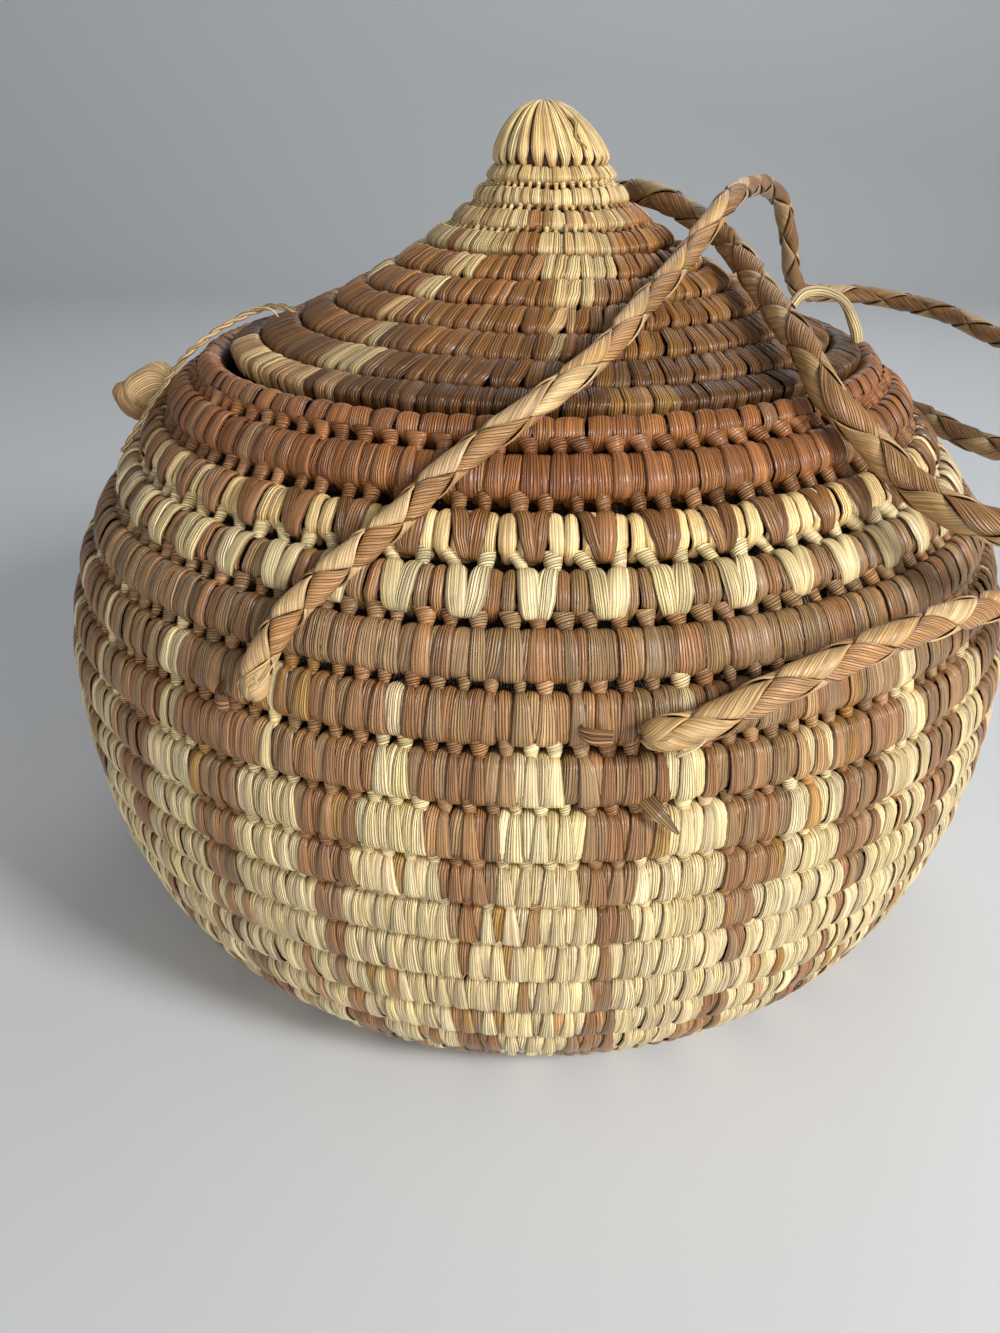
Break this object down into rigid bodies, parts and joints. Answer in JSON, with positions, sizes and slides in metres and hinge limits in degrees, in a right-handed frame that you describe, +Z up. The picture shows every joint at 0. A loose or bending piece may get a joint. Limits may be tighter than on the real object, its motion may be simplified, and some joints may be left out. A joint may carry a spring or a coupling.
{
  "type": "lidded coiled basket",
  "caption": "Round-bellied coiled palm-leaf basket with a domed knobbed lid and long plaited cord handles for carrying and storing dry goods.",
  "frame": {"origin": "centre of the basket's base, on the plane it stands on", "axes": "+Z up along the basket's axis, -Y towards the front that the handles are tied to in the picture, +X to the right"},
  "size_m": [0.38, 0.3058, 0.2468],
  "materials": {
    "cream_leaf": "undyed palm leaf strips wrapped over a coil, low satin sheen",
    "brown_leaf": "dyed reddish-brown palm leaf strips wrapped over a coil, low satin sheen",
    "plaited_leaf": "plait of tan and brown palm leaf strips, ribbed, matt",
    "leaf_string": "two-ply string of split palm leaf, matt"
  },
  "bodies": {
    "basket": {"base_coil": "cream_leaf", "wall_coil": "cream_leaf", "shoulder_coil": "brown_leaf", "mouth_rim_coil": "brown_leaf", "tie_toggle": "cream_leaf", "lid_tie_string": "leaf_string", "front_handle_lashing_left": "brown_leaf", "front_handle_lashing_right": "brown_leaf", "back_handle_lashing_left": "brown_leaf", "back_handle_lashing_right": "brown_leaf"},
    "lid": {"lid_rim_coil": "brown_leaf", "lid_cone_coil": "brown_leaf", "lid_knob": "cream_leaf", "lid_loop": "cream_leaf"},
    "front_handle": {"front_handle_cord": "plaited_leaf", "front_handle_end_left": "plaited_leaf", "front_handle_end_right": "plaited_leaf"},
    "back_handle": {"back_handle_cord": "plaited_leaf", "back_handle_end_left": "plaited_leaf", "back_handle_end_right": "plaited_leaf"}
  },
  "joints": [
    {"name": "lid_lift", "type": "slide", "parent": "basket", "child": "lid", "axis": [0, 0, 1], "range_m": [0, 0.06], "deforming": ["lid_tie_string"]},
    {"name": "front_handle_swing", "type": "hinge", "parent": "basket", "child": "front_handle", "pos_m": [-0.06173, -0.13609, 0.12623], "axis": [0.9912, -0.1323, 0], "range_deg": [0, 80]},
    {"name": "back_handle_swing", "type": "hinge", "parent": "basket", "child": "back_handle", "pos_m": [0.06173, 0.13609, 0.12623], "axis": [-0.9912, 0.1323, 0], "range_deg": [0, 80]}
  ],
  "couplings": [
    {"joint": "front_handle_swing", "follows": "lid_lift", "rad_per_m": 23.27},
    {"joint": "back_handle_swing", "follows": "lid_lift", "rad_per_m": 23.27}
  ]
}
